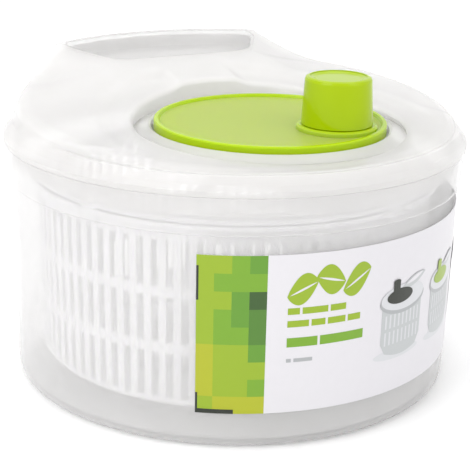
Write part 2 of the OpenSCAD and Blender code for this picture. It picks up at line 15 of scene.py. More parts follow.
import bmesh
import bpy
from mathutils import Matrix, Vector


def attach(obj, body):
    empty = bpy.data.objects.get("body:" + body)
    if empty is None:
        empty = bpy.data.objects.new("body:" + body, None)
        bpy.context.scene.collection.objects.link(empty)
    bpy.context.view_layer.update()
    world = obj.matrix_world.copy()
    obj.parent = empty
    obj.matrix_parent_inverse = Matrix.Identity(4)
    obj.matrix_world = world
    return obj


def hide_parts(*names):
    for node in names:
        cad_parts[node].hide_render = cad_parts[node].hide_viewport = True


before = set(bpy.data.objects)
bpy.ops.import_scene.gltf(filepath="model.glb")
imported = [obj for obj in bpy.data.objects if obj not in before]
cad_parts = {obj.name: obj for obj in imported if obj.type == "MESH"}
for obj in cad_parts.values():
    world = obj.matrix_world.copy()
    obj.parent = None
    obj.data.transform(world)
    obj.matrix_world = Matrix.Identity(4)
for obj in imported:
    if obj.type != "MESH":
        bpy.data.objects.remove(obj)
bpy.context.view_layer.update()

logging.basicConfig(level=logging.INFO, format="%(message)s")
log = logging.getLogger("salad_spinner")

MM = 0.001
Colour = tuple[float, float, float]
Axes = tuple[float, float, float]
Point2 = tuple[float, float]
Value = Union["Wire", float, tuple]


def paint(red: int, green: int, blue: int) -> Colour:
    """Turns a display colour into the linear colour that shaders use.

    Args:
        red: the red channel, 0 to 255.
        green: the green channel, 0 to 255.
        blue: the blue channel, 0 to 255.

    Returns:
        The linear colour.
    """
    def linear(level: float) -> float:
        """One channel, from 0 to 1."""
        return level / 12.92 if level <= 0.04045 else ((level + 0.055) / 1.055) ** 2.4
    return linear(red / 255), linear(green / 255), linear(blue / 255)


def mix(low: float, high: float, share: float) -> float:
    """The number that lies that share of the way from low to high."""
    return low + (high - low) * share


def clamp(share: float) -> float:
    """A share kept between 0 and 1."""
    return min(1.0, max(0.0, share))


def smooth(share: float) -> float:
    """A share eased at both ends, from 0 to 1."""
    kept = clamp(share)
    return kept * kept * (3 - 2 * kept)


# ---- Shader expressions ----


class Wire:
    """A node's output that takes part in Python arithmetic and adds its Math nodes."""

    def __init__(self, recipe: "Recipe", socket: bpy.types.NodeSocket) -> None:
        """Keeps the socket and the recipe that it belongs to."""
        self.recipe = recipe
        self.socket = socket

    def math(self, operation: str, *values: Value) -> "Wire":
        """Adds a Math node.

        Args:
            operation: the Math node's operation.
            values: its inputs, wires or numbers, in order.

        Returns:
            The node's output.
        """
        return self.recipe.wire("ShaderNodeMath", {"operation": operation}, dict(enumerate(values)))

    def __add__(self, other: Value) -> "Wire":
        """Sum."""
        return self.math("ADD", self, other)

    def __sub__(self, other: Value) -> "Wire":
        """Difference."""
        return self.math("SUBTRACT", self, other)

    def __rsub__(self, other: Value) -> "Wire":
        """Difference, from a number."""
        return self.math("SUBTRACT", other, self)

    def __mul__(self, other: Value) -> "Wire":
        """Product."""
        return self.math("MULTIPLY", self, other)

    __radd__ = __add__
    __rmul__ = __mul__

    def reach(self, other: "Wire") -> "Wire":
        """Length of the vector whose two parts these are."""
        return self.math("SQRT", self * self + other * other)

    def turn(self, across: "Wire") -> "Wire":
        """Angle in radians of the vector with this as its y and across as its x."""
        return self.math("ARCTAN2", self, across)

    def sine(self) -> "Wire":
        """Sine of an angle in radians."""
        return self.math("SINE", self)

    def step(self, start: float, end: float) -> "Wire":
        """Eases from 0 to 1 between two values."""
        return self.recipe.wire("ShaderNodeMapRange", {"interpolation_type": "SMOOTHSTEP"},
                                {"Value": self, "From Min": start, "From Max": end})


class Recipe:
    """One material's node tree, with the one way in which its nodes are made."""

    def __init__(self, name: str) -> None:
        """Starts an empty material.

        Args:
            name: the material's name.
        """
        self.material = bpy.data.materials.new(name)
        self.material.use_nodes = True
        self.tree = self.material.node_tree
        self.tree.nodes.clear()

    def node(self, kind: str, settings: dict | None = None,
             values: dict | None = None) -> bpy.types.Node:
        """Makes a node.

        Args:
            kind: the node's type.
            settings: attributes set before anything else.
            values: a number, colour or wire for each input, by name or index.

        Returns:
            The node.
        """
        made = self.tree.nodes.new(kind)
        for key, value in (settings or {}).items():
            setattr(made, key, value)
        for key, value in (values or {}).items():
            socket = made.inputs[key]
            if isinstance(value, Wire):
                self.tree.links.new(value.socket, socket)
            elif isinstance(value, tuple) and len(value) == 3 and socket.type == "RGBA":
                socket.default_value = (*value, 1.0)
            else:
                socket.default_value = value
        return made

    def wire(self, kind: str, settings: dict | None = None, values: dict | None = None,
             output: int | str = 0) -> Wire:
        """Makes a node as node() does and gives its output of that name or index."""
        return Wire(self, self.node(kind, settings, values).outputs[output])

    def place(self) -> Wire:
        """The surface point in the shared frame, in metres."""
        return self.wire("ShaderNodeTexCoord", output="Object")

    def split(self, vector: Wire) -> tuple[Wire, Wire, Wire]:
        """The three parts of a vector."""
        parted = self.node("ShaderNodeSeparateXYZ", values={0: vector})
        return tuple(Wire(self, parted.outputs[axis]) for axis in range(3))

    def noise(self, scale: float, detail: float = 2.0, stretch: Axes = (1, 1, 1),
              rough: float = 0.5) -> Wire:
        """Noise over the surface.

        Args:
            scale: features per metre.
            detail: octaves of finer noise.
            stretch: factor on the features' number along each axis.
            rough: strength of the finer octaves.

        Returns:
            The noise, from 0 to 1.
        """
        spread = self.wire("ShaderNodeVectorMath", {"operation": "MULTIPLY"},
                           {0: self.place(), 1: stretch})
        return self.wire("ShaderNodeTexNoise", {"noise_dimensions": "3D"},
                         {"Vector": spread, "Scale": scale, "Detail": detail, "Roughness": rough})

    def blend(self, share: Value, first: Value, second: Value) -> Wire:
        """A colour that goes from the first to the second with share."""
        return self.wire("ShaderNodeMix", {"data_type": "RGBA", "clamp_factor": True},
                         {0: share, 6: first, 7: second}, output=2)

    def relief(self, height: Wire, depth: float, strength: float = 1.0) -> Wire:
        """A normal from a height that goes from 0 to 1 over depth metres."""
        return self.wire("ShaderNodeBump", values={"Height": height, "Distance": depth,
                                                   "Strength": strength})

    def finish(self, values: dict) -> bpy.types.Material:
        """Adds the surface shader and ends the material.

        Args:
            values: what each of the shader's inputs takes, by name.

        Returns:
            The material.
        """
        shader = self.wire("ShaderNodeBsdfPrincipled", values=values)
        self.node("ShaderNodeOutputMaterial", values={"Surface": shader})
        return self.material


# ---- Finishes ----


class Grain(Enum):
    """How a mould or a tool left the surface: feature scale, depth in metres and stretch."""

    POLISHED = (260.0, 0.00001, (1.0, 1.0, 0.4))
    SATIN = (1500.0, 0.00002, (1.0, 1.0, 1.0))
    EROSION = (2600.0, 0.00005, (1.0, 1.0, 1.0))
    BRUSHED = (700.0, 0.00002, (1.0, 1.0, 18.0))

    @property
    def scale(self) -> float:
        """Features per metre."""
        return self.value[0]

    @property
    def depth(self) -> float:
        """Depth of the relief in metres."""
        return self.value[1]

    @property
    def stretch(self) -> Axes:
        """Factor on the features' number along each axis."""
        return self.value[2]


@dataclass(frozen=True)
class FrostedPlastic:
    """Milky polypropylene that lets a blurred picture through."""

    tint: Colour
    roughness: float
    veil: float
    glow: float = 0.6
    depth: float = 0.012
    grain: Grain = Grain.SATIN
    cloud: float = 0.03
    haze: float = 0.08

    def material(self, name: str) -> bpy.types.Material:
        """Makes the material with faint clouding, flow marks and mould grain.

        Args:
            name: the material's name.

        Returns:
            The material.
        """
        recipe = Recipe(name)
        flow = recipe.noise(26.0, detail=3.0, stretch=(1.0, 1.0, 0.35))
        haze = recipe.noise(90.0, detail=4.0)
        deep = tuple(c * (1 - self.cloud) for c in self.tint)
        grain = recipe.noise(self.grain.scale, stretch=self.grain.stretch)
        return recipe.finish({
            "Base Color": recipe.blend(flow.step(0.35, 0.65), deep, self.tint),
            "Roughness": self.roughness + (haze - 0.5) * self.haze,
            "Normal": recipe.relief(grain, self.grain.depth),
            "Alpha": self.veil,
            "IOR": 1.4,
            "Subsurface Weight": self.glow,
            "Subsurface Radius": (1.0, 1.0, 1.0),
            "Subsurface Scale": self.depth,
        })


@dataclass(frozen=True)
class SolidPlastic:
    """Coloured or natural plastic that lets no picture through."""

    tint: Colour
    roughness: float
    glow: float = 0.0
    shine: float = 0.5
    grain: Grain = Grain.SATIN
    wear: float = 0.05
    scuff: float = 0.08

    def material(self, name: str) -> bpy.types.Material:
        """Makes the material with mould grain, slight shade changes and handling marks.

        Args:
            name: the material's name.

        Returns:
            The material.
        """
        recipe = Recipe(name)
        shade = recipe.noise(60.0, detail=3.0)
        marks = recipe.noise(420.0, detail=5.0, stretch=(1.0, 3.0, 1.0), rough=0.7)
        grain = recipe.noise(self.grain.scale, stretch=self.grain.stretch)
        deep = tuple(c * (1 - self.wear) for c in self.tint)
        return recipe.finish({
            "Base Color": recipe.blend(shade.step(0.3, 0.7), deep, self.tint),
            "Roughness": self.roughness + marks.step(0.55, 0.75) * self.scuff,
            "Normal": recipe.relief(grain, self.grain.depth),
            "Specular IOR Level": self.shine,
            "Subsurface Weight": self.glow,
            "Subsurface Radius": (0.8, 1.0, 0.6),
            "Subsurface Scale": 0.004,
        })


@dataclass(frozen=True)
class BrushedSteel:
    """Turned or drawn stainless steel."""

    tint: Colour = (0.62, 0.62, 0.64)
    roughness: float = 0.28
    line_shade: float = 0.14

    def material(self, name: str) -> bpy.types.Material:
        """Makes the material with fine lines round the part.

        Args:
            name: the material's name.

        Returns:
            The material.
        """
        recipe = Recipe(name)
        lines = recipe.noise(Grain.BRUSHED.scale, detail=3.0, stretch=Grain.BRUSHED.stretch)
        deep = tuple(c * (1 - self.line_shade) for c in self.tint)
        return recipe.finish({
            "Base Color": recipe.blend(lines, deep, self.tint),
            "Metallic": 1.0,
            "Roughness": self.roughness + (lines - 0.5) * self.line_shade,
            "Normal": recipe.relief(lines, Grain.BRUSHED.depth),
        })


@dataclass(frozen=True)
class PrintedPaper:
    """Coated card with one flat ink."""

    ink: Colour
    roughness: float = 0.34
    mottle: float = 0.03
    fibre_depth: float = 0.01 * MM

    def material(self, name: str) -> bpy.types.Material:
        """Makes the material with paper fibre under the ink and a slight print mottle.

        Args:
            name: the material's name.

        Returns:
            The material.
        """
        recipe = Recipe(name)
        fibre = recipe.noise(1100.0, detail=4.0, stretch=(1.0, 1.0, 0.3))
        pale = tuple(min(1.0, c * (1 + self.mottle)) for c in self.ink)
        return recipe.finish({
            "Base Color": recipe.blend(recipe.noise(300.0), self.ink, pale),
            "Roughness": self.roughness + (fibre - 0.5) * 0.1,
            "Normal": recipe.relief(fibre, self.fibre_depth),
            "Coat Weight": 0.15,
            "Coat Roughness": 0.2,
        })


@dataclass(frozen=True)
class CrankLime:
    """Lime polypropylene of the crank disc: a hazy dish inside a clean, brighter rim."""

    dish: Colour
    rim: Colour
    centre: Point2
    dish_r: float
    seat: Point2
    seat_r: float
    teeth: int
    dish_fade: float = 1.2 * MM
    seat_fade: float = 0.4 * MM
    teeth_in: Point2 = (7.5 * MM, 6.5 * MM)
    # strength of the painted shade of the gear's teeth seen through the disc
    tooth_shade: float = 0.35
    cloud: float = 0.18
    roughness: float = 0.24

    def material(self, name: str) -> bpy.types.Material:
        """Makes the material, with painted shade of the gear's teeth seen through the disc near its
        edge.

        Args:
            name: the material's name.

        Returns:
            The material.
        """
        recipe = Recipe(name)
        across, along, _ = recipe.split(recipe.place())
        x, y = across - self.centre[0], along - self.centre[1]
        reach = x.reach(y)
        off_seat = (across - self.seat[0]).reach(along - self.seat[1])
        hazy = (1 - reach.step(self.dish_r - self.dish_fade, self.dish_r)) * \
            off_seat.step(self.seat_r - self.seat_fade, self.seat_r + self.seat_fade)
        # painted shade: ticks near the edge that stand in for the ring gear's teeth seen through the
        # disc
        painted_teeth_shade = (y.turn(x) * self.teeth).sine().step(-0.2, 0.6) * \
            reach.step(self.dish_r - self.teeth_in[0], self.dish_r - self.teeth_in[1])
        cloud = recipe.noise(45.0, detail=3.0)
        dish = recipe.blend(painted_teeth_shade * self.tooth_shade + cloud * self.cloud, self.dish, self.rim)
        grain = recipe.noise(Grain.EROSION.scale)
        return recipe.finish({
            "Base Color": recipe.blend(hazy, self.rim, dish),
            "Roughness": self.roughness + hazy * self.roughness,
            "Normal": recipe.relief(grain * hazy, Grain.EROSION.depth),
            "Specular IOR Level": 0.25,
            "Subsurface Weight": 0.5,
            "Subsurface Radius": (0.6, 1.0, 0.1),
            "Subsurface Scale": 0.006,
        })


@dataclass(frozen=True)
class FloorPaint:
    """Matte pale floor of the studio."""

    tint: Colour = (0.95, 0.95, 0.95)
    cloud: float = 0.015

    def material(self, name: str) -> bpy.types.Material:
        """Makes the material with a barely seen unevenness.

        Args:
            name: the material's name.

        Returns:
            The material.
        """
        recipe = Recipe(name)
        deep = tuple(c * (1 - self.cloud) for c in self.tint)
        return recipe.finish({"Base Color": recipe.blend(recipe.noise(3.0), deep, self.tint),
                              "Roughness": 0.6})


FROSTED_BOWL = FrostedPlastic(tint=(0.86, 0.85, 0.845), roughness=0.2, veil=0.38, glow=0.3,
                              haze=0.04)
FROSTED_LID = FrostedPlastic(tint=(0.83, 0.815, 0.805), roughness=0.16, veil=0.55)
# Lighter copy of the lid's plastic on the mouth's throat: painted light that brightens the shaded
# inside of the mouth
LID_THROAT_LIGHTENED = FrostedPlastic(tint=(0.98, 0.97, 0.96), roughness=0.2, veil=0.5, glow=1.0,
                            depth=0.03)
BASKET_WHITE = SolidPlastic(tint=(0.92, 0.92, 0.94), roughness=0.42, glow=0.25)
KNOB_LIME = SolidPlastic(tint=(0.35, 0.485, 0.0), roughness=0.1, shine=0.2,
                         grain=Grain.POLISHED)
GEAR_WHITE = SolidPlastic(tint=(0.86, 0.86, 0.83), roughness=0.38, glow=0.1)
STEEL = BrushedSteel()


# ---- Mesh building ----


def make_object(name: str, mesh: bmesh.types.BMesh, soft_angle: float = 40.0) -> bpy.types.Object:
    """Turns a bmesh into a scene object with smooth faces.

    Args:
        name: the piece's name.
        mesh: the bmesh, which is freed.
        soft_angle: edges that bend more than this many degrees stay sharp.

    Returns:
        The object.
    """
    bmesh.ops.recalc_face_normals(mesh, faces=mesh.faces)
    for face in mesh.faces:
        face.smooth = True
    for edge in mesh.edges:
        edge.smooth = not edge.is_manifold or edge.calc_face_angle(0.0) < math.radians(soft_angle)
    data = bpy.data.meshes.new(name)
    mesh.to_mesh(data)
    mesh.free()
    made = bpy.data.objects.new(name, data)
    bpy.context.scene.collection.objects.link(made)
    return made


def fillet(corners: Sequence[tuple[float, float, float]], steps: int = 6) -> list[Point2]:
    """Rounds the corners of an open outline.

    Args:
        corners: (x, y, radius) of each corner; the ends aren't rounded.
        steps: segments in each arc.

    Returns:
        The points of the rounded outline.
    """
    points: list[Point2] = []
    for k, (x, y, radius) in enumerate(corners):
        here = Vector((x, y))
        if radius <= 0 or k in (0, len(corners) - 1):
            points.append((x, y))
            continue
        back = Vector(corners[k - 1][:2]) - here
        ahead = Vector(corners[k + 1][:2]) - here
        half = back.angle(ahead) / 2
        reach = min(radius / math.tan(half), back.length * 0.49, ahead.length * 0.49)
        start, end = here + back.normalized() * reach, here + ahead.normalized() * reach
        for s in range(steps + 1):
            t = s / steps
            spot = start.lerp(here, t).lerp(here.lerp(end, t), t)
            points.append((spot.x, spot.y))
    return points


def lathe(name: str, profile: Sequence[Point2], centre: Point2 = (0.0, 0.0),
          steps: int = 240) -> bpy.types.Object:
    """Turns a profile round an upright axis.

    Args:
        name: the piece's name.
        profile: (radius, height) in metres; its two ends lie on the axis or close the loop.
        centre: where the axis stands.
        steps: segments round the axis.

    Returns:
        The object.
    """
    mesh = bmesh.new()
    rings = []
    for radius, height in profile:
        rings.append([mesh.verts.new((centre[0] + radius * math.cos(2 * math.pi * k / steps),
                                      centre[1] + radius * math.sin(2 * math.pi * k / steps),
                                      height)) for k in range(steps)])
    for low, high in zip(rings, rings[1:]):
        for k in range(steps):
            mesh.faces.new((low[k], low[(k + 1) % steps], high[(k + 1) % steps], high[k]))
    bmesh.ops.remove_doubles(mesh, verts=mesh.verts, dist=1e-7)
    return make_object(name, mesh)


def dress(piece: bpy.types.Object, *materials: bpy.types.Material) -> None:
    """Gives a piece its materials in place of any that it has.

    Args:
        piece: the object.
        materials: its materials, in slot order.
    """
    if piece.data.materials:
        piece.data.materials.clear()
    for material in materials:
        piece.data.materials.append(material)


def dress_nodes(finish: Union[FrostedPlastic, SolidPlastic, BrushedSteel, CrankLime],
                *nodes: str) -> None:
    """Gives frame nodes one shared finish and reports each.

    Args:
        finish: what they are made of.
        nodes: the frame nodes' names.
    """
    material = finish.material(f"{nodes[0]}_finish")
    for name in nodes:
        dress(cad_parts[name], material)
        log.info("dressed %s with %s", name, type(finish).__name__)


def settle(piece: bpy.types.Object, body: str, slot: str, *stands_for: str) -> None:
    """Fixes a piece to its body and hides the frame nodes it stands for.

    Args:
        piece: the object, in place.
        body: the body it rides on.
        slot: the record's material slot; not used.
        stands_for: the frame nodes that it replaces.
    """
    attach(piece, body)
    if stands_for:
        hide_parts(*stands_for)
    log.info("built %s on %s, %d faces", piece.name, body, len(piece.data.polygons))


# ---- Sub-assemblies ----


@dataclass
class Bowl:
    """The frosted bowl with its stepped-out collar and the pin that the basket turns on."""

    base_r: float = 98.6 * MM
    wall_top_r: float = 100.2 * MM
    collar_r: float = 101.8 * MM
    rim_r: float = 103.2 * MM
    wall: float = 2.0 * MM
    floor: float = 2.4 * MM
    foot_round: float = 7.0 * MM
    collar_z: float = 92.4 * MM
    height: float = 108.4 * MM
    pin_r: float = 3.2 * MM
    pin_top: float = 21.0 * MM
    pin_foot: Point2 = (7.2 * MM, 4.2 * MM)
    pin_foot_top: float = 10.0 * MM

    def wall_r(self, height: float) -> float:
        """Radius of the wall's outside at a height."""
        share = (height - self.foot_round) / (self.collar_z - self.foot_round)
        return mix(self.base_r, self.wall_top_r, share)

    def profile(self) -> list[Point2]:
        """Works out the bowl's section.

        Returns:
            The points, from the middle of its base round its rim to the top of its pin.
        """
        inner = self.floor
        return fillet([
            (0.0, 0.0, 0.0),
            (self.wall_r(0.0), 0.0, self.foot_round),
            (self.wall_top_r, self.collar_z, 0.5 * MM),
            (self.collar_r, self.collar_z, 0.9 * MM),
            (self.rim_r, self.height, 0.35 * MM),
            (self.rim_r - self.wall, self.height, 0.9 * MM),
            (self.collar_r - self.wall, self.collar_z + self.wall, 0.8 * MM),
            (self.wall_top_r - self.wall, self.collar_z, 0.8 * MM),
            (self.wall_r(inner) - self.wall, inner, self.foot_round - self.wall),
            (self.pin_foot[0], inner, 0.8 * MM),
            (self.pin_foot[1], self.pin_foot_top, 0.4 * MM),
            (self.pin_r, self.pin_foot_top, 0.3 * MM),
            (self.pin_r, self.pin_top, 0.5 * MM),
            (0.0, self.pin_top, 0.0),
        ])

    def build(self) -> None:
        """Builds the bowl and its finish."""
        piece = lathe("bowl_frosted", self.profile())
        dress(piece, FROSTED_BOWL.material("bowl_finish"))
        settle(piece, "bowl", "frosted_bowl", "bowl")


class Ink(Enum):
    """Flat inks of the label."""

    WHITE = paint(206, 204, 208)
    SUN = paint(160, 166, 14)
    LIME = paint(136, 162, 16)
    LEAF = paint(108, 152, 24)
    GRASS = paint(88, 138, 30)
    FERN = paint(70, 116, 30)
    PINE = paint(44, 78, 22)
    NIGHT = paint(22, 28, 14)
    GREY = paint(138, 139, 142)
    STEEL = paint(158, 160, 162)
    FOG = paint(176, 179, 180)
    MIST = paint(196, 197, 200)


Slice = tuple[float, float, float]
Mark = tuple[Ink, int, list[Slice]]


@dataclass
class Label:
    """Printed band round the bowl: a block of green squares, plain bars, leaves and drawings.

    Its marks are the builder's own and stand for no words. Each is an ink, the layer that it
    lies in, and slices in millimetres as (distance along the band, low, high).
    """

    bowl: Bowl
    start: float = 233.5
    arc: float = 172.0
    low: float = 16.5 * MM
    height: float = 68.0 * MM
    thick: float = 0.3 * MM
    back_gap: float = 0.02 * MM
    ink_proud: float = 0.04 * MM
    panel_columns: int = 4
    panel_rows: int = 9
    plain_columns: int = 72
    square: float = 7.0 * MM
    split: int = 2
    seed: int = 23
    dark_chance: float = 0.06
    scatter: float = 0.9
    text_left: float = 36.5
    leaf_steps: int = 18
    oval_steps: int = 20
    mark_rows: int = 6
    inks: tuple[Ink, ...] = tuple(Ink)
    greens: tuple[Ink, ...] = (Ink.SUN, Ink.LIME, Ink.LEAF, Ink.GRASS, Ink.FERN)
    papers: list[bpy.types.Material] = field(default_factory=list)

    def spot(self, along: float, up: float, proud: float) -> Vector:
        """A point on the band.

        Args:
            along: distance round the band from its left edge.
            up: height above the band's lower edge.
            proud: distance outside the bowl's wall.

        Returns:
            The point in the shared frame.
        """
        height = self.low + up
        radius = self.bowl.wall_r(height) + proud
        turn = math.radians(self.start) + along / self.bowl.wall_r(self.low + self.height / 2)
        return Vector((radius * math.cos(turn), radius * math.sin(turn), height))

    def square_ink(self, column: int, row: int, dice: random.Random) -> Ink:
        """Picks one square's ink: yellower at the foot, greener to the right and upwards.

        Args:
            column: the square's column, from the left.
            row: the square's row, from the foot.
            dice: the source of its scatter.

        Returns:
            The ink.
        """
        if dice.random() < self.dark_chance and column > 2:
            return Ink.PINE
        up, right = row / (self.panel_rows - 1), column / (self.panel_columns - 1)
        shade = 2.6 * smooth(up * 1.6) * (0.55 + 0.45 * right) + 0.9 * right
        shade += dice.uniform(-self.scatter, self.scatter) - 4.0 * max(0.0, up - 0.8)
        return self.greens[round(min(len(self.greens) - 1, max(0.0, shade)))]

    def build_band(self) -> None:
        """Builds the band, with one face for each green square."""
        dice = random.Random(self.seed)
        greens = [[self.square_ink(k, n, dice) for n in range(self.panel_rows)]
                  for k in range(self.panel_columns)]
        length = math.radians(self.arc) * self.bowl.wall_r(self.low + self.height / 2)
        panel, strips = self.panel_columns * self.square, self.panel_columns * self.split
        columns = [self.square * k / self.split for k in range(strips)] + \
            [mix(panel, length, k / self.plain_columns) for k in range(self.plain_columns + 1)]
        rows = [self.height * k / self.panel_rows for k in range(self.panel_rows + 1)]
        mesh = bmesh.new()
        skins = [[[mesh.verts.new(self.spot(u, v, proud)) for v in rows] for u in columns]
                 for proud in (self.thick, self.back_gap)]
        last_u, last_v = len(columns) - 1, len(rows) - 1
        for k in range(last_u):
            for n in range(last_v):
                for side, skin in enumerate(skins):
                    face = mesh.faces.new((skin[k][n], skin[k + 1][n],
                                           skin[k + 1][n + 1], skin[k][n + 1]))
                    printed = side == 0 and k < strips
                    ink = greens[k // self.split][n] if printed else Ink.WHITE
                    face.material_index = self.inks.index(ink)
        outer, inner = skins
        for k in range(last_u):
            for n in (0, last_v):
                mesh.faces.new((outer[k][n], outer[k + 1][n], inner[k + 1][n], inner[k][n]))
        for n in range(last_v):
            for k in (0, last_u):
                mesh.faces.new((outer[k][n], outer[k][n + 1], inner[k][n + 1], inner[k][n]))
        piece = make_object("label_band", mesh)
        dress(piece, *self.ink_materials())
        settle(piece, "bowl", "label_print", "label_sleeve")

    def ink_materials(self) -> list[bpy.types.Material]:
        """Makes one printed-paper material for each ink, once.

        Returns:
            The materials, in the inks' order.
        """
        if not self.papers:
            self.papers += [PrintedPaper(ink.value).material(f"label_{ink.name.lower()}")
                            for ink in self.inks]
        return self.papers

    def bar(self, left: float, right: float, low: float, high: float) -> list[Slice]:
        """Slices of a plain bar, as (along, low, high)."""
        count = max(2, round((right - left) / 2.5))
        return [(mix(left, right, k / count), low, high) for k in range(count + 1)]

    def leaf(self, left: float, right: float, middle: float, half: float,
             lean: float) -> list[Slice]:
        """Slices of a pointed leaf.

        Args:
            left: where it starts along the band.
            right: where it ends.
            middle: its height on the band.
            half: half its width.
            lean: how far its middle line climbs.

        Returns:
            The slices.
        """
        slices = []
        for k in range(self.leaf_steps + 1):
            t = k / self.leaf_steps
            width = half * math.sin(math.pi * t) ** 0.8
            line = middle + lean * (t - 0.5)
            slices.append((mix(left, right, t), line - width, line + width))
        return slices

    def oval(self, middle: float, height: float, half_w: float, half_h: float) -> list[Slice]:
        """Slices of an oval.

        Args:
            middle: its place along the band.
            height: its height on the band.
            half_w: half its width.
            half_h: half its height.

        Returns:
            The slices.
        """
        slices = []
        for k in range(self.oval_steps + 1):
            turn = math.pi * (k / self.oval_steps - 0.5)
            slices.append((middle + half_w * math.sin(turn),
                           height - half_h * math.cos(turn), height + half_h * math.cos(turn)))
        return slices

    def blocks(self, ink: Ink, low: float, high: float, lengths: Sequence[float]) -> list[Mark]:
        """A row of plain blocks with gaps between them.

        Args:
            ink: their ink.
            low: their lower edge.
            high: their upper edge.
            lengths: the length of each.

        Returns:
            The blocks as marks.
        """
        left, row = self.text_left, []
        for length in lengths:
            row.append((ink, 1, self.bar(left, left + length, low, high)))
            left += length + 1.1
        return row

    def pot(self, middle: float, floor: float, half: float, tall: float) -> list[Slice]:
        """Slices of a small bowl drawn from the side, with a rounded foot.

        Args:
            middle: its place along the band.
            floor: the height of its foot.
            half: half its width.
            tall: its own height.

        Returns:
            The slices.
        """
        slices = []
        for k in range(self.oval_steps + 1):
            across = mix(-1, 1, k / self.oval_steps)
            foot = floor + tall * (0.12 * across ** 2 + 0.14 * max(0.0, abs(across) - 0.8) / 0.2)
            slices.append((middle + half * across * 0.96, foot, floor + tall))
        return slices

    def drawing(self, middle: float, disc: Ink) -> list[Mark]:
        """A small drawing of a bowl with its lid and crank.

        Args:
            middle: its place along the band.
            disc: the crank's ink.

        Returns:
            Its marks, from the lowest layer up.
        """
        slots = []
        for k in range(-4, 5):
            left = middle + 2.6 * k - 0.5
            slots += [(Ink.MIST, 3, self.bar(left, left + 1.0, low, low + 6)) for low in (21.5, 29.0)]
        return [
            (Ink.MIST, 1, self.oval(middle - 2.0, 17.0, 14.5, 2.4)),
            (Ink.FOG, 2, self.pot(middle, 16.0, 13.4, 25.0)),
            *slots,
            (Ink.STEEL, 4, self.oval(middle, 40.6, 14.4, 6.0)),
            (Ink.MIST, 5, self.oval(middle, 41.8, 13.9, 5.6)),
            (Ink.FOG, 6, self.leaf(middle - 2.0, middle + 14.6, 47.6, 2.2, 4.0)),
            (Ink.WHITE, 7, self.leaf(middle + 1.0, middle + 12.6, 48.3, 1.0, 3.0)),
            (disc, 8, self.oval(middle - 2.6, 42.6, 8.0, 3.3)),
            (disc, 9, self.bar(middle - 7.2, middle - 3.2, 43.6, 49.4)),
            (disc, 10, self.oval(middle - 5.2, 49.4, 2.0, 0.8)),
        ]

    def marks(self) -> list[Mark]:
        """Lays out the edge bars, the leaves, the rows of blocks and the drawings.

        Returns:
            Every printed mark.
        """
        drawn = [(Ink.NIGHT, 1, self.bar(0.9, 15.5, 0.0, 1.9)),
                 (Ink.NIGHT, 1, self.bar(0.0, 0.9, 0.0, 9.0)),
                 (Ink.NIGHT, 1, self.bar(0.0, 0.9, 49.0, 63.5))]
        for k, (middle, lean) in enumerate(((53.2, 6.0), (56.2, -3.0), (54.7, 8.0))):
            left = 36.0 + 12.0 * k
            drawn += [(Ink.LIME, 1, self.leaf(left, left + 13.0, middle, 6.4, lean)),
                      (Ink.WHITE, 2, self.leaf(left + 1.0, left + 12.6, middle, 0.5, lean * 0.9))]
        drawn += self.blocks(Ink.LIME, 42.6, 45.4, (5, 11, 7))
        drawn += self.blocks(Ink.LIME, 37.2, 40.0, (9, 6, 8, 6))
        drawn += self.blocks(Ink.LEAF, 28.6, 32.6, (13, 20))
        drawn += self.blocks(Ink.STEEL, 22.0, 23.6, (2, 8))
        for middle, disc in ((93.5, Ink.NIGHT), (128.0, Ink.LIME), (162.5, Ink.NIGHT)):
            drawn += self.drawing(middle, disc)
        return drawn

    def build_marks(self) -> None:
        """Builds the printed marks as thin ink patches on the band."""
        mesh = bmesh.new()
        for ink, layer, slices in self.marks():
            proud = self.thick + self.ink_proud * layer
            grid = [[mesh.verts.new(self.spot(u * MM, mix(low, high, n / self.mark_rows) * MM, proud))
                     for n in range(self.mark_rows + 1)] for u, low, high in slices]
            for one, two in zip(grid, grid[1:]):
                for n in range(self.mark_rows):
                    face = mesh.faces.new((one[n], two[n], two[n + 1], one[n + 1]))
                    face.material_index = self.inks.index(ink)
        bmesh.ops.remove_doubles(mesh, verts=mesh.verts, dist=1e-7)
        bmesh.ops.dissolve_degenerate(mesh, edges=mesh.edges, dist=1e-7)
        piece = make_object("label_marks", mesh)
        dress(piece, *self.ink_materials())
        settle(piece, "bowl", "label_print")

    def build(self) -> None:
        """Builds the band and its marks."""
        self.build_band()
        self.build_marks()


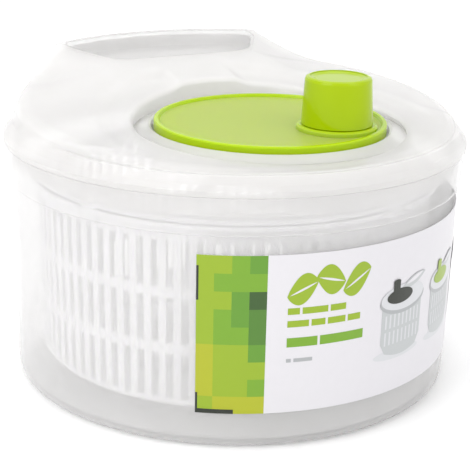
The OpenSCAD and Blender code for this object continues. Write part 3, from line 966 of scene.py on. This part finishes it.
@dataclass
class LidShell:
    """The lid's moulded skin: a gently tilted top, a ramp up to the mouth's lip, the pour hood
    with its shoulders, a rounded edge, the flange band and the skirt inside the bowl.

    Its sizes are in millimetres, and its angles are in degrees from the hood's middle.
    """

    crank_y: float = -31.2
    hole_r: float = 58.45
    hole_round: float = 3.0
    hole_drop: float = 1.5
    hole_fade: float = 4.0
    edge_r: float = 97.7
    edge_w: float = 7.0
    edge_drop: float = 3.2
    edge_over_band: float = 0.4
    edge_soft: float = 0.8
    edge_sag: float = 0.5
    band_top_r: float = 99.2
    band_kink: Point2 = (1.8, 4.6)
    flange_h: float = 2.4
    seat_gap: float = 0.02
    rim_r: float = 103.2
    skirt_r: float = 99.0
    skirt_h: float = 9.0
    flange_z: float = 108.4
    band_top_z: float = 116.5
    thick: float = 2.2
    crown_z: float = 122.8
    slope: float = 0.065
    hood_z: float = 140.6
    hood_arch: float = 1.5
    lip_z: float = 135.0
    lip_y: float = 52.2
    lip_half: float = 35.0
    lip_flare: float = 0.5
    ramp_run: float = 26.0
    ramp_soft: float = 20.0
    mouth_r: float = 95.2
    corner_cut: float = 9.0
    mound_foot_z: float = 117.7
    recess_r: float = 68.0
    recess_blend: float = 10.0
    recess_z: float = 119.7
    recess_depth: float = 1.8
    spine_half: float = 13.0
    spine_blend: float = 8.0
    corner: float = 33.0
    shoulder: float = 57.0
    back_fade: float = 14.0
    lip_fade: float = 45.0
    waist: float = 0.56
    gather: float = 1.25
    steps: int = 360
    inner_rings: int = 14
    outer_rings: int = 16
    lip_round: float = 1.4
    throat_depth: float = 10.0
    ramp_gain: float = field(init=False)

    def __post_init__(self) -> None:
        """Works out how strongly the ramp rises, so that it meets the lip."""
        self.ramp_gain = (self.lip_z - self.plane_z(self.lip_y)) / self.ramp_rise(self.lip_y)

    def plane_z(self, y: float) -> float:
        """Height of the tilted top."""
        return self.crown_z + self.slope * y

    def ramp_rise(self, y: float) -> float:
        """Rise of the ramp before it is scaled to meet the lip."""
        run = y - (self.lip_y - self.ramp_run)
        return (run + math.hypot(run, self.ramp_soft)) / 2

    def hood_share(self, y: float) -> float:
        """Share of the way from the lip to the hood's corners."""
        corner_y = self.edge_r * math.cos(math.radians(self.corner))
        return clamp((y - self.lip_y) / (corner_y - self.lip_y))

    def crest_z(self, y: float) -> float:
        """Height along the lid's middle line.

        Args:
            y: distance from the bowl's axis, towards the hood.

        Returns:
            The height.
        """
        if y <= self.lip_y:
            return self.plane_z(y) + self.ramp_gain * self.ramp_rise(y)
        return mix(self.lip_z, self.hood_z - self.hood_arch, self.hood_share(y))

    def crest_half(self, y: float) -> float:
        """Half width of the flat middle of the ramp and hood.

        Args:
            y: distance from the bowl's axis, towards the hood.

        Returns:
            The half width.
        """
        if y <= self.lip_y:
            return self.lip_half + (self.lip_y - y) * self.lip_flare
        corner_x = self.edge_r * math.sin(math.radians(self.corner))
        return mix(self.lip_half, corner_x, self.hood_share(y))

    def edge_z(self, turn: float) -> float:
        """Height of the lid's outer edge.

        Args:
            turn: degrees from the hood's middle, 0 or more.

        Returns:
            The height.
        """
        plain = self.plane_z(self.edge_r * math.cos(math.radians(turn)))
        if turn <= self.corner:
            return self.hood_z - self.hood_arch * (turn / self.corner) ** 2
        if turn >= self.shoulder:
            return plain
        corner_y = self.edge_r * math.cos(math.radians(self.corner))
        lift = self.hood_z - self.hood_arch - self.plane_z(corner_y)
        return plain + lift * ((self.shoulder - turn) / (self.shoulder - self.corner)) ** 2

    def recess_share(self, x: float, y: float) -> float:
        """Share of the recess: 1 in it, round the crank disc, and 0 outside and on its spine."""
        inside = 1 - smooth((math.hypot(x, y - self.crank_y) - self.recess_r) / self.recess_blend)
        return inside * smooth((abs(x) - self.spine_half) / self.spine_blend)

    def plain_top_z(self, x: float, y: float) -> float:
        """Height of the skin without the recess.

        Args:
            x: distance from the lid's middle line.
            y: distance from the bowl's axis, towards the hood.

        Returns:
            The height.
        """
        crest, half = self.crest_z(y), self.crest_half(y)
        if abs(x) <= half:
            return crest
        span = self.edge_r ** 2 - y * y
        share = clamp((abs(x) - half) / max(1.0, math.sqrt(max(1.0, span)) - half))
        rim = self.edge_z(math.degrees(math.atan2(math.sqrt(max(0.0, span)), y)))
        return mix(crest, rim, math.sin(math.pi / 2 * share))

    def top_z(self, x: float, y: float) -> float:
        """Height of the skin before its outer edge is rounded.

        Args:
            x: distance from the lid's middle line.
            y: distance from the bowl's axis, towards the hood.

        Returns:
            The height.
        """
        height = self.plain_top_z(x, y)
        over = height - self.recess_z
        eased = (over + math.hypot(over, self.edge_soft)) / 2
        depth = self.recess_depth * (1 - math.exp(-eased / self.recess_depth))
        return height - depth * self.recess_share(x, y)

    def skin_z(self, x: float, y: float) -> float:
        """Height of the finished skin, with its edge and the rim of its hole rounded.

        Args:
            x: distance from the lid's middle line.
            y: distance from the bowl's axis, towards the hood.

        Returns:
            The height.
        """
        reach = math.hypot(x, y)
        turn = abs(math.degrees(math.atan2(x, y)))
        fall = self.edge_drop * smooth((turn - self.corner) / (self.shoulder - self.corner))
        share = clamp((reach - (self.edge_r - self.edge_w)) / self.edge_w)
        height = self.top_z(x, y) - fall * (1 - math.sqrt(1 - share * share))
        near = clamp(1 - (math.hypot(x, y - self.crank_y) - self.hole_r) / self.hole_round)
        above = smooth((height - self.mound_foot_z) / self.hole_fade)
        height -= self.hole_drop * above * (1 - math.sqrt(1 - near * near))
        over = height - (self.band_top_z + self.edge_over_band)
        return height - over + (over + math.hypot(over, self.edge_soft)) / 2

    def hole_point(self, turn: float) -> Vector:
        """A point on the hole round the gear housing, turn radians from the hood's middle."""
        return Vector((self.hole_r * math.sin(turn), self.crank_y + self.hole_r * math.cos(turn)))

    def rim_point(self, turn: float, reach: float) -> Vector:
        """A point at that reach from the bowl's axis."""
        return Vector((reach * math.sin(turn), reach * math.cos(turn)))

    def half_mouth(self, turn: float, back: bool) -> Vector:
        """A point on the mouth's outline, or where the same line would cross it outside.

        Args:
            turn: radians from the hood's middle, 0 or more.
            back: True for the hood's back wall, False for the lip.

        Returns:
            The point, on the side towards +X.
        """
        corner, cut = math.radians(self.corner), self.corner_cut
        lip_end = Vector((self.lip_half, self.lip_y))
        back_end = self.rim_point(corner, self.mouth_r)
        along = (back_end - lip_end).normalized()
        if back:
            def plain(angle: float) -> Vector:
                """The point on the mouth's radius."""
                return self.rim_point(angle, self.mouth_r)
            sharp, end, fade = back_end, back_end - along * cut, math.radians(self.back_fade)
            start = 1 - cut / (self.mouth_r * corner)
        else:
            def plain(angle: float) -> Vector:
                """The point on the lip, or on the straight line from the hole to the edge."""
                if angle <= corner:
                    return Vector((self.lip_half * angle / corner, self.lip_y))
                return self.hole_point(angle).lerp(self.rim_point(angle, self.mouth_r), self.waist)
            sharp, end, fade = lip_end, lip_end + along * cut, math.radians(self.lip_fade)
            start = 1 - cut / self.lip_half
        share = turn / corner
        if share <= start:
            return plain(turn)
        if share <= 1:
            t = (share - start) / (1 - start)
            first = plain(start * corner)
            return first.lerp(sharp, t).lerp(sharp.lerp(end, t), t)
        return plain(turn) + (end - plain(corner * 1.0001)) * (1 - smooth((turn - corner) / fade))

    def outline(self, turn: float, back: bool) -> Vector:
        """The mouth's outline on either side of its middle."""
        point = self.half_mouth(abs(turn), back)
        return Vector((math.copysign(point.x, turn), point.y))

    def plan(self, turn: float) -> list[Vector]:
        """Plan points of one line from the hole to the mouth's radius.

        Args:
            turn: radians from the hood's middle.

        Returns:
            The points, from the hole outwards.
        """
        hole = self.hole_point(turn)
        waist, rim = self.outline(turn, False), self.outline(turn, True)
        inner = [hole.lerp(waist, (k / self.inner_rings) ** self.gather)
                 for k in range(self.inner_rings + 1)]
        outer = [waist.lerp(rim, math.sin(math.pi / 2 * k / self.outer_rings))
                 for k in range(1, self.outer_rings + 1)]
        return inner + outer

    def on_skin(self, spot: Vector, below: float = 0.0) -> Vector:
        """The point at that spot of the plan, so far below the finished skin."""
        return Vector((spot.x, spot.y, self.skin_z(spot.x, spot.y) - below))

    def edge(self, turn: float) -> list[Vector]:
        """Points from the mouth's radius over the edge.

        Args:
            turn: radians from the hood's middle.

        Returns:
            The points, from the mouth's radius outwards.
        """
        points = []
        for share in (0.35, 0.65, 0.85, 0.95, 1.0):
            spot = self.rim_point(turn, mix(self.mouth_r, self.edge_r, share))
            points.append(self.on_skin(spot, self.edge_sag * (1 - math.sqrt(1 - share ** 4))))
        return points

    def side(self, turn: float, edge_z: float) -> list[Vector]:
        """Points down the band and flange, into the skirt and back up inside it.

        Args:
            turn: radians from the hood's middle.
            edge_z: the height of the edge that they start from.

        Returns:
            The points, without the edge itself.
        """
        seat_z, skirt_z = self.flange_z + self.seat_gap, self.flange_z - self.skirt_h
        inside = self.edge_r - self.thick
        section = fillet([
            (self.edge_r, edge_z, 0.0),
            (self.band_top_r, self.band_top_z, 1.2),
            (self.rim_r - self.band_kink[0], self.flange_z + self.band_kink[1], 1.6),
            (self.rim_r, self.flange_z + self.flange_h, 0.8),
            (self.rim_r, seat_z, 0.3),
            (self.skirt_r, seat_z, 0.3),
            (self.skirt_r, skirt_z, 0.8),
            (self.skirt_r - self.thick, skirt_z, 0.8),
            (self.skirt_r - self.thick, self.flange_z, 1.0),
            (inside, self.band_top_z - 4.0, 1.0),
            (inside, edge_z - self.thick - 0.6, 0.0),
        ], 4)
        return [self.rim_point(turn, reach).to_3d() + Vector((0.0, 0.0, height))
                for reach, height in section[1:]]

    def columns(self) -> list[list[Vector]]:
        """Works out the lines that the skin is lofted through.

        Returns:
            The points of every line, from the foot of the hole's wall over the top, down the
            side, into the skirt and back along the underside.
        """
        lines = []
        for k in range(self.steps):
            turn = math.pi * (2 * k / self.steps - 1)
            plan, edge = self.plan(turn), self.edge(turn)
            top = [self.on_skin(spot) for spot in plan]
            under = [self.on_skin(spot, self.thick) for spot in plan]
            hole = plan[0] + (plan[0] - Vector((0.0, self.crank_y))).normalized() * self.thick
            foot_z = min(self.mound_foot_z - self.thick, top[0].z - self.thick - 0.4)
            lines.append([Vector((plan[0].x, plan[0].y, foot_z)), *top, *edge,
                          *self.side(turn, edge[-1].z), *reversed(under[1:]),
                          self.on_skin(hole, self.thick), Vector((hole.x, hole.y, foot_z))])
        return lines

    def build(self) -> None:
        """Builds the skin, opens its mouth and rounds the mouth's rim."""
        mesh = bmesh.new()
        lines = [[mesh.verts.new(point * MM) for point in line] for line in self.columns()]
        count, steps = len(lines[0]), self.steps
        lip = 1 + self.inner_rings
        rim = lip + self.outer_rings
        under_rim = count - 2 - (self.inner_rings + self.outer_rings)
        under_lip = under_rim + self.outer_rings
        edge_step = self.corner / 360 * steps
        first, last = round(steps / 2 - edge_step), round(steps / 2 + edge_step)
        for k in range(steps):
            one, two = lines[k], lines[(k + 1) % steps]
            for n in range(count):
                mouth = first <= k < last and (lip <= n < rim or under_rim <= n < under_lip)
                if not mouth:
                    far = (n + 1) % count
                    mesh.faces.new((one[n], two[n], two[far], one[far]))
        loop = [(k, lip) for k in range(first, last)]
        loop += [(last, n) for n in range(lip, rim)]
        loop += [(k, rim) for k in range(last, first, -1)]
        loop += [(first, n) for n in range(rim, lip, -1)]
        self.round_mouth(mesh, lines, loop, rim + under_rim)
        stray = [v for v in mesh.verts if not v.link_faces]
        bmesh.ops.delete(mesh, geom=stray, context="VERTS")
        piece = make_object("lid_shell_smooth", mesh, 50.0)
        # second slot: the throat's lighter copy of the lid's plastic, painted light for the mouth's
        # shaded inside
        dress(piece, FROSTED_LID.material("lid_finish"), LID_THROAT_LIGHTENED.material("throat_lightened_finish"))
        settle(piece, "lid", "frosted_lid", "lid_shell")

    def round_mouth(self, mesh: bmesh.types.BMesh, lines: list, loop: list[tuple[int, int]],
                    mirror: int) -> None:
        """Rounds the mouth's rim and hangs a short throat from it.

        Args:
            mesh: the lid's bmesh.
            lines: its vertices by line and place on the line.
            loop: (line, place) of the mouth's upper edge, in order.
            mirror: the sum of an upper place and the place under it.
        """
        rounding = ((0.1, 0.02), (0.45, 0.15), (0.8, 0.45), (1.0, 1.0))
        section = (*rounding, (1.05, self.throat_depth / 2), (1.1, self.throat_depth),
                   (0.3, self.throat_depth))
        rows = []
        for at, (k, n) in enumerate(loop):
            high = lines[k][n].co
            ahead, back = loop[(at + 1) % len(loop)], loop[at - 1]
            along = (lines[ahead[0]][ahead[1]].co - lines[back[0]][back[1]].co).to_2d().normalized()
            inward = Vector((-along.y, along.x)) * -self.lip_round * MM
            rows.append([lines[k][n],
                         *(mesh.verts.new((high.x + inward.x * out, high.y + inward.y * out,
                                           high.z - down * MM)) for out, down in section),
                         lines[k][mirror - n]])
        for one, two in zip(rows, rows[1:] + rows[:1]):
            for n in range(len(one) - 1):
                face = mesh.faces.new((one[n], two[n], two[n + 1], one[n + 1]))
                # the throat's faces take the lighter copy of the lid's plastic, painted light for the
                # mouth's shaded inside
                face.material_index = int(n >= len(rounding))


@dataclass
class Crank:
    """The crank disc with its ring gear and spindle."""

    centre: Point2 = (0.0, -31.2 * MM)
    dish_r: float = 47.6 * MM
    knob_at: Point2 = (19.28 * MM, -54.18 * MM)
    seat_r: float = 17.2 * MM
    teeth: int = 110

    def build(self) -> None:
        """Dresses the disc and what it carries."""
        dress_nodes(CrankLime(dish=paint(160, 176, 82), rim=paint(162, 188, 0), centre=self.centre,
                              dish_r=self.dish_r, seat=self.knob_at, seat_r=self.seat_r,
                              teeth=self.teeth), "crank_disc")
        dress_nodes(GEAR_WHITE, "ring_gear")
        dress_nodes(STEEL, "crank_spindle", "crank_washer", "spindle_washer", "spindle_screw")


@dataclass
class Basket:
    """The slotted basket and the foot that it turns on."""

    def build(self) -> None:
        """Dresses the basket, the sleeve on the bowl's pin and its snap ring."""
        dress_nodes(BASKET_WHITE, "basket")
        dress_nodes(GEAR_WHITE, "pivot_bush")
        dress_nodes(STEEL, "bush_clip")


@dataclass
class GearHousing:
    """The well under the crank disc, with its two bushes."""

    def build(self) -> None:
        """Dresses the well and the bushes let into it."""
        dress_nodes(FROSTED_LID, "gear_housing")
        dress_nodes(GEAR_WHITE, "pinion_bush", "crank_bush")


@dataclass
class Knob:
    """The lime knob with its cap, and the steel that holds it."""

    def build(self) -> None:
        """Dresses the knob and what it turns on."""
        dress_nodes(KNOB_LIME, "knob", "knob_cap")
        dress_nodes(STEEL, "knob_post", "knob_washer", "knob_screw")


@dataclass
class Drive:
    """The pinion's shaft and the plate that turns the basket."""

    def build(self) -> None:
        """Dresses the pinion, its shaft and the drive plate."""
        dress_nodes(BASKET_WHITE, "drive_plate")
        dress_nodes(GEAR_WHITE, "pinion")
        dress_nodes(STEEL, "drive_shaft", "thrust_washer", "shaft_washer", "drive_screw")


@dataclass
class Studio:
    """Pale floor, soft lamps and the camera."""

    eye: tuple[float, float, float] = (-0.30218, -0.55845, 0.26605)
    heading: float = 28.5
    pitch: float = 0.313
    roll: float = 0.022
    lens: float = 111.03
    floor_size: float = 9.0

    def build_camera(self) -> None:
        """Sets the camera where the object is seen from a little above its lid."""
        data = bpy.data.cameras.new("camera")
        data.lens, data.sensor_width = self.lens, 36.0
        data.clip_start, data.clip_end = 0.01, 50.0
        camera = bpy.data.objects.new("camera", data)
        turn = math.radians(self.heading)
        level = Vector((math.sin(turn), math.cos(turn), 0.0))
        ahead = level * math.cos(self.pitch) - Vector((0.0, 0.0, math.sin(self.pitch)))
        right = Vector((math.cos(turn), -math.sin(turn), 0.0))
        above = right.cross(ahead)
        rolled = right * math.cos(self.roll) + above * math.sin(self.roll)
        upright = above * math.cos(self.roll) - right * math.sin(self.roll)
        basis = Matrix((rolled, upright, -ahead)).transposed().to_4x4()
        camera.matrix_world = Matrix.Translation(self.eye) @ basis
        bpy.context.scene.collection.objects.link(camera)
        bpy.context.scene.camera = camera

    def lamp(self, name: str, place: tuple, aim: tuple, size: float, power: float) -> None:
        """Adds a square soft lamp.

        Args:
            name: its name.
            place: where it hangs.
            aim: what it points at.
            size: its side in metres.
            power: its power in watts.
        """
        data = bpy.data.lights.new(name, "AREA")
        data.shape, data.size, data.energy = "SQUARE", size, power
        made = bpy.data.objects.new(name, data)
        made.location = place
        made.rotation_euler = (Vector(aim) - Vector(place)).to_track_quat("-Z", "Y").to_euler()
        bpy.context.scene.collection.objects.link(made)

    def build_floor(self) -> None:
        """Lays the floor."""
        mesh = bmesh.new()
        bmesh.ops.create_grid(mesh, x_segments=8, y_segments=8, size=self.floor_size)
        floor = make_object("studio_floor", mesh)
        floor.location.z = -0.0002
        dress(floor, FloorPaint().material("floor_finish"))

    def build(self) -> None:
        """Builds the studio."""
        self.build_floor()
        self.build_camera()
        self.lamp("key", (-1.0, -0.3, 1.0), (0.0, 0.0, 0.07), 0.8, 6.0)
        self.lamp("fill", (0.5, -1.1, 0.9), (0.0, 0.0, 0.07), 0.8, 3.0)
        self.lamp("top", (0.1, 0.4, 1.3), (0.0, 0.0, 0.1), 1.2, 3.5)
        self.lamp("glint", (-0.75, -0.95, 0.75), (0.0, 0.0, 0.1), 0.12, 1.2)
        world = bpy.data.worlds.new("studio_world")
        world.use_nodes = True
        back = world.node_tree.nodes["Background"]
        back.inputs["Color"].default_value = (1.0, 1.0, 1.0, 1.0)
        back.inputs["Strength"].default_value = 1.0
        bpy.context.scene.world = world
        bpy.context.scene.view_settings.view_transform = "Standard"


def main() -> None:
    """Builds every sub-assembly."""
    bowl = Bowl()
    for part in (Studio(), bowl, Label(bowl), Basket(), LidShell(), GearHousing(), Crank(), Knob(),
                 Drive()):
        part.build()


if __name__ == "__main__":
    main()
